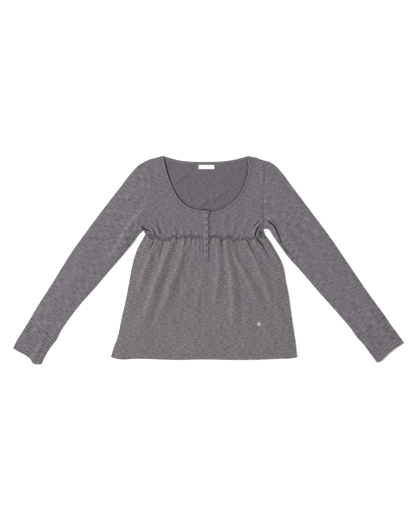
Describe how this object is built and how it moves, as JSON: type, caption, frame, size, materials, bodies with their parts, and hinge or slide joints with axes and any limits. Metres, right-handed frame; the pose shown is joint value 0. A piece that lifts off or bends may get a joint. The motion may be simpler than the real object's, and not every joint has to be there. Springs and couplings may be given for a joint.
{
  "type": "long-sleeved babydoll top",
  "caption": "Long-sleeved jersey top laid flat: scoop neck with bound edge, short buttoned placket, gathered empire seam, flared skirt and deep cuffs.",
  "frame": {"origin": "middle of the laid-out outline, on the surface that the back rests on", "axes": "+X across the body towards the sleeve at the picture's right, +Y up the body towards the neck, +Z out of the front, away from the surface"},
  "size_m": [1.133, 0.6054, 0.0103],
  "materials": {
    "jersey": "heathered fine jersey, matt",
    "jersey_inside": "inside of the heathered jersey, matt",
    "binding": "folded jersey strip, matt",
    "button": "satin lilac-grey",
    "label": "blank woven tape"
  },
  "bodies": {
    "root": {"back_bodice": "jersey_inside", "back_skirt": "jersey", "button_1": "button", "button_2": "button", "button_3": "button", "button_4": "button", "button_5": "button", "button_6": "button", "button_7": "button", "cuff_left": "jersey", "cuff_right": "jersey", "front_bodice_left": "jersey", "front_bodice_right": "jersey", "front_skirt": "jersey", "neck_binding_back": "binding", "neck_binding_left": "binding", "neck_binding_right": "binding", "neck_label": "label", "placket_band": "binding", "placket_under": "jersey", "sleeve_left": "jersey", "sleeve_right": "jersey", "waist_frill_left": "binding", "waist_frill_right": "binding"}
  },
  "joints": []
}
